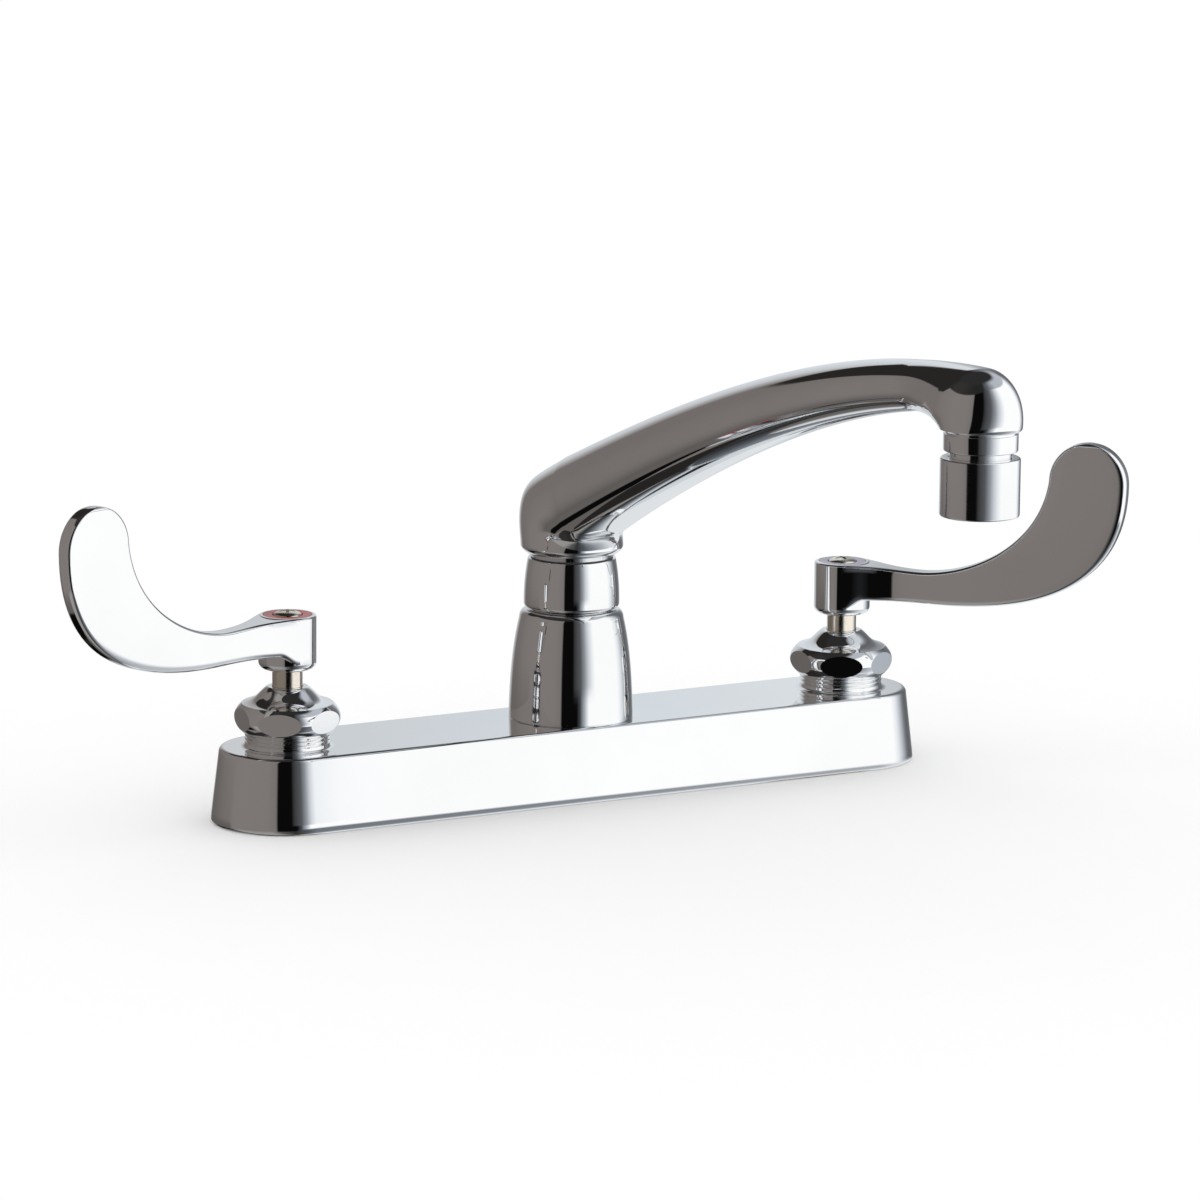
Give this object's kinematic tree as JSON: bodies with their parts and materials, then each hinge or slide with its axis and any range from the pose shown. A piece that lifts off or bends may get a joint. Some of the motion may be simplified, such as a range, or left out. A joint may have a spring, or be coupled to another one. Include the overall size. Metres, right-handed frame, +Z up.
{
  "type": "two-handle deck faucet",
  "caption": "Chrome kitchen faucet: one long cast base, two wristblade lever valves and a central swinging cast spout with an aerator.",
  "frame": {"origin": "middle of the base's underside, on the face of the deck", "axes": "+X along the base from the left valve to the right one, -Y the way the spout points at rest, +Z up"},
  "size_m": [0.3581, 0.2774, 0.2296],
  "materials": {
    "chrome": "polished chrome plate",
    "chrome_soft": "fine turned chrome plate",
    "brass": "machined brass",
    "nickel": "warm nickel plate",
    "steel": "brushed stainless steel",
    "rubber": "smooth black rubber",
    "nylon": "moulded nylon",
    "acetal": "black moulded acetal",
    "ceramic": "lapped ceramic",
    "index_red": "red index ring",
    "index_grey": "grey index ring"
  },
  "bodies": {
    "base": {"faucet_body": "chrome", "deck_gasket": "rubber", "spout_post": "chrome", "post_seal": "rubber", "spout_nut": "chrome", "bearing_washer": "nylon", "glide_ring": "acetal", "left_shank": "brass", "left_shank_washer": "steel", "left_locknut": "brass", "left_seat_seal": "rubber", "left_fixed_disc": "ceramic", "left_cartridge": "brass", "left_cartridge_oring": "rubber", "left_bonnet_nut": "chrome", "right_shank": "brass", "right_shank_washer": "steel", "right_locknut": "brass", "right_seat_seal": "rubber", "right_fixed_disc": "ceramic", "right_cartridge": "brass", "right_cartridge_oring": "rubber", "right_bonnet_nut": "chrome"},
    "spout_arm": {"spout": "chrome", "swivel_stem": "brass", "swivel_orings": "rubber", "outlet_adapter": "chrome", "aerator_housing": "chrome_soft", "aerator_insert": "nylon", "aerator_screen": "steel", "aerator_washer": "rubber"},
    "left_lever": {"left_moving_disc": "ceramic", "left_stem": "nickel", "left_stem_oring": "rubber", "left_handle": "chrome", "left_index_ring": "index_red", "left_handle_screw": "nickel"},
    "right_lever": {"right_moving_disc": "ceramic", "right_stem": "nickel", "right_stem_oring": "rubber", "right_handle": "chrome", "right_index_ring": "index_grey", "right_handle_screw": "nickel"}
  },
  "joints": [
    {"name": "spout_swing", "type": "hinge", "parent": "base", "child": "spout_arm", "pos_m": [0, 0, 0.06], "axis": [0, 0, 1], "continuous": true},
    {"name": "left_handle_turn", "type": "hinge", "parent": "base", "child": "left_lever", "pos_m": [-0.1016, 0, 0.05], "axis": [0, 0, 1], "range_deg": [0, 90]},
    {"name": "right_handle_turn", "type": "hinge", "parent": "base", "child": "right_lever", "pos_m": [0.1016, 0, 0.05], "axis": [0, 0, 1], "range_deg": [-59, 31]}
  ]
}
